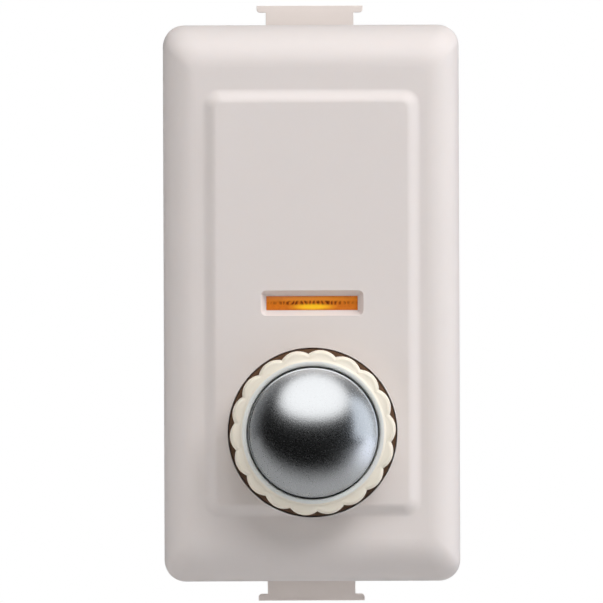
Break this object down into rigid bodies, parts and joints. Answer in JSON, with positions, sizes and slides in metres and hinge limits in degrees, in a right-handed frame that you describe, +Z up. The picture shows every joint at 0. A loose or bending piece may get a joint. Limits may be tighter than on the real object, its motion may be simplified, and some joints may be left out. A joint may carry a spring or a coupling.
{
  "type": "rotary dimmer module",
  "caption": "Snap-in wall module with a scalloped turn-and-push dimmer knob, domed metal cap, amber locator lamp, spring latches, fuse drawer and rear screw terminals.",
  "frame": {"origin": "middle of the plane on which the front cover's rim seats against the support frame", "axes": "the front faces -Y and the body runs back along +Y; +Z is up and +X is to the right seen from the front"},
  "size_m": [0.024, 0.0531, 0.0484],
  "materials": {
    "ivory_plastic": "fine satin moulded plastic",
    "knob_plastic": "satin moulded plastic",
    "brown_plastic": "satin moulded plastic",
    "amber_lens": "glossy translucent amber, lit from behind",
    "clear_glass": "clear glass",
    "satin_chrome": "satin chrome plate",
    "steel": "bright zinc plate",
    "aluminium_sheet": "plain sheet",
    "brass": "bright turned brass",
    "contact_bronze": "rolled bronze strip",
    "copper_wire": "lacquered copper wire",
    "black_plastic": "satin moulded plastic",
    "board_laminate": "coated laminate",
    "ferrite": "coated ferrite ring",
    "red_capacitor": "glossy dipped case",
    "orange_capacitor": "glossy dipped case",
    "resistor_lacquer": "glossy lacquer",
    "blue_diode": "glossy case"
  },
  "bodies": {
    "housing": {"front_cover": "ivory_plastic", "chassis": "ivory_plastic", "rear_housing": "ivory_plastic", "rear_cover": "ivory_plastic", "indicator_lens": "amber_lens", "lamp_bulb": "clear_glass", "rear_cover_screws": "steel", "bushing_washer": "steel", "bushing_nut": "steel", "potentiometer_case": "steel", "potentiometer_pins": "steel", "return_spring": "steel", "lamp_electrodes": "steel", "triac_screw": "steel", "heat_sink": "aluminium_sheet", "bushing": "brass", "terminal_common": "brass", "terminal_one": "brass", "terminal_two": "brass", "front_contacts": "contact_bronze", "rear_contacts": "contact_bronze", "fuse_clips": "contact_bronze", "choke_winding": "copper_wire", "resistance_track": "black_plastic", "switch_case": "black_plastic", "triac": "black_plastic", "circuit_board": "board_laminate", "choke_core": "ferrite", "suppression_capacitor": "red_capacitor", "timing_capacitor": "orange_capacitor", "resistors": "resistor_lacquer", "diac": "blue_diode"},
    "latch_upper": {"upper_latch": "ivory_plastic"},
    "latch_lower": {"lower_latch": "ivory_plastic"},
    "plunger": {"switch_plunger": "knob_plastic", "contact_bridge": "contact_bronze"},
    "knob": {"knob_cap": "satin_chrome", "knob_collar": "knob_plastic", "knob_hub": "brown_plastic", "shaft": "steel", "shaft_clip": "steel"},
    "rotor": {"potentiometer_rotor": "black_plastic", "wiper": "contact_bronze"},
    "fuse_drawer": {"fuse_carrier": "black_plastic", "fuse_glass": "clear_glass", "fuse_wire": "steel", "fuse_caps": "brass"},
    "clamp_common": {"clamp_plate_common": "steel"},
    "screw_common": {"clamp_screw_common": "steel"},
    "clamp_one": {"clamp_plate_one": "steel"},
    "screw_one": {"clamp_screw_one": "steel"},
    "clamp_two": {"clamp_plate_two": "steel"},
    "screw_two": {"clamp_screw_two": "steel"}
  },
  "joints": [
    {"name": "knob_push", "type": "slide", "parent": "housing", "child": "plunger", "axis": [0, 1, 0], "range_m": [0, 0.0012], "stiffness_N_per_m": 2000, "springref_m": -0.0015, "deforming": ["return_spring"]},
    {"name": "knob_turn", "type": "hinge", "parent": "plunger", "child": "knob", "pos_m": [0, 0, -0.01045], "axis": [0, 1, 0], "range_deg": [0, 270]},
    {"name": "wiper_turn", "type": "hinge", "parent": "housing", "child": "rotor", "pos_m": [0, 0, -0.01045], "axis": [0, 1, 0], "range_deg": [0, 270]},
    {"name": "upper_latch_flex", "type": "hinge", "parent": "housing", "child": "latch_upper", "pos_m": [0, 0.0124, 0.0204], "axis": [1, 0, 0], "range_deg": [0, 14], "stiffness_Nm_per_rad": 0.7, "springref_deg": -2.86},
    {"name": "lower_latch_flex", "type": "hinge", "parent": "housing", "child": "latch_lower", "pos_m": [0, 0.0124, -0.0204], "axis": [-1, 0, 0], "range_deg": [0, 14], "stiffness_Nm_per_rad": 0.7, "springref_deg": -2.86},
    {"name": "fuse_slide", "type": "slide", "parent": "housing", "child": "fuse_drawer", "axis": [0, 1, 0], "range_m": [0, 0.024]},
    {"name": "clamp_common_close", "type": "slide", "parent": "housing", "child": "clamp_common", "axis": [0, 0, -1], "range_m": [0, 0.002]},
    {"name": "screw_common_turn", "type": "hinge", "parent": "clamp_common", "child": "screw_common", "pos_m": [0, 0.0284, 0.01125], "axis": [0, 0, -1], "range_deg": [0, 1200]},
    {"name": "clamp_one_close", "type": "slide", "parent": "housing", "child": "clamp_one", "axis": [0, 0, 1], "range_m": [0, 0.002]},
    {"name": "screw_one_turn", "type": "hinge", "parent": "clamp_one", "child": "screw_one", "pos_m": [-0.0049, 0.0284, -0.01125], "axis": [0, 0, 1], "range_deg": [0, 1200]},
    {"name": "clamp_two_close", "type": "slide", "parent": "housing", "child": "clamp_two", "axis": [0, 0, 1], "range_m": [0, 0.002]},
    {"name": "screw_two_turn", "type": "hinge", "parent": "clamp_two", "child": "screw_two", "pos_m": [0.0049, 0.0284, -0.01125], "axis": [0, 0, 1], "range_deg": [0, 1200]}
  ],
  "couplings": [
    {"joint": "wiper_turn", "follows": "knob_turn", "ratio": 1},
    {"joint": "screw_common_turn", "follows": "clamp_common_close", "rad_per_m": 10472},
    {"joint": "screw_one_turn", "follows": "clamp_one_close", "rad_per_m": 10472},
    {"joint": "screw_two_turn", "follows": "clamp_two_close", "rad_per_m": 10472}
  ]
}
